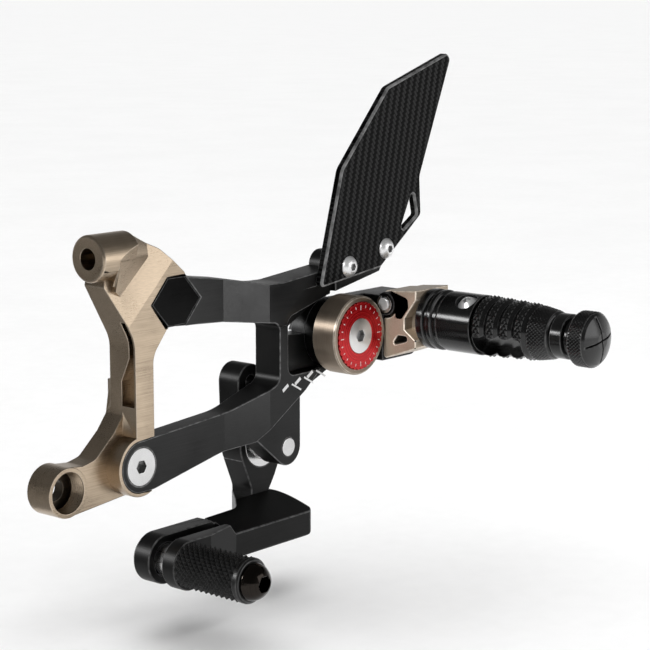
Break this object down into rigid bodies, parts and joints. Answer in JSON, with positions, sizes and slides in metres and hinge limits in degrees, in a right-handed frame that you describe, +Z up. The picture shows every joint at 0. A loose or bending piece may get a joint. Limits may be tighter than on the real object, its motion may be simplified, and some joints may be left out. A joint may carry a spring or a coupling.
{
  "type": "rear set footrest",
  "caption": "Gear-side motorcycle rear set: milled frame adapter, forked side plate, carbon heel guard, clamped folding foot peg and gear lever with an eccentric toe peg.",
  "frame": {"origin": "axis of the lower frame bolt, on the face that meets the frame", "axes": "+X to the rear of the motorcycle, -Y outboard, +Z up"},
  "size_m": [0.2376, 0.149, 0.2142],
  "materials": {
    "bronze_anodised": "brushed bronze anodised",
    "black_anodised": "satin black anodised",
    "gloss_black": "gloss black anodised",
    "red_anodised": "red anodised",
    "stainless": "stainless, fine turned",
    "dark_steel": "polished dark steel",
    "carbon_twill": "carbon twill under clear coat",
    "rubber": "moulded diamond rubber"
  },
  "bodies": {
    "plate": {"adapter_bracket": "bronze_anodised", "side_plate": "black_anodised", "hex_cap": "black_anodised", "upper_plate_bolt": "stainless", "lower_plate_bolt": "stainless", "heel_guard_screws": "stainless", "pivot_bolt": "stainless", "pivot_spacer": "stainless", "pivot_bearing_inner": "stainless", "heel_guard": "carbon_twill"},
    "carrier": {"peg_carrier": "black_anodised", "adjuster_barrel": "bronze_anodised", "index_ring": "red_anodised", "clamp_bolt": "stainless", "clamp_washer": "stainless", "clamp_nut": "stainless", "fold_pin": "stainless", "fold_pin_clip": "stainless"},
    "peg": {"peg_knuckle": "bronze_anodised", "peg_base_ring": "gloss_black", "peg_collar": "gloss_black", "collar_screw": "stainless", "peg_grip": "gloss_black", "peg_knob": "gloss_black", "peg_spindle": "stainless", "fold_spring": "stainless"},
    "lever": {"gear_lever": "black_anodised", "pivot_bearing_outer": "stainless"},
    "toe": {"toe_hub": "stainless", "toe_rubber": "rubber", "toe_end_washer": "gloss_black", "toe_end_screw": "dark_steel"}
  },
  "joints": [
    {"name": "carrier_adjust", "type": "hinge", "parent": "plate", "child": "carrier", "pos_m": [0.1505, -0.0257, 0.0454], "axis": [0, -1, 0], "range_deg": [-10, 10]},
    {"name": "peg_fold", "type": "hinge", "parent": "carrier", "child": "peg", "pos_m": [0.1805, -0.038, 0.0574], "axis": [-1, 0, 0], "range_deg": [0, 65], "stiffness_Nm_per_rad": 0.15, "springref_deg": -20.05},
    {"name": "lever_pivot", "type": "hinge", "parent": "plate", "child": "lever", "pos_m": [0.1209, -0.0035, -0.0018], "axis": [0, -1, 0], "range_deg": [-10, 10]},
    {"name": "toe_adjust", "type": "hinge", "parent": "lever", "child": "toe", "pos_m": [0.0505, -0.0193, -0.0376], "axis": [0, -1, 0], "range_deg": [-180, 180]}
  ]
}
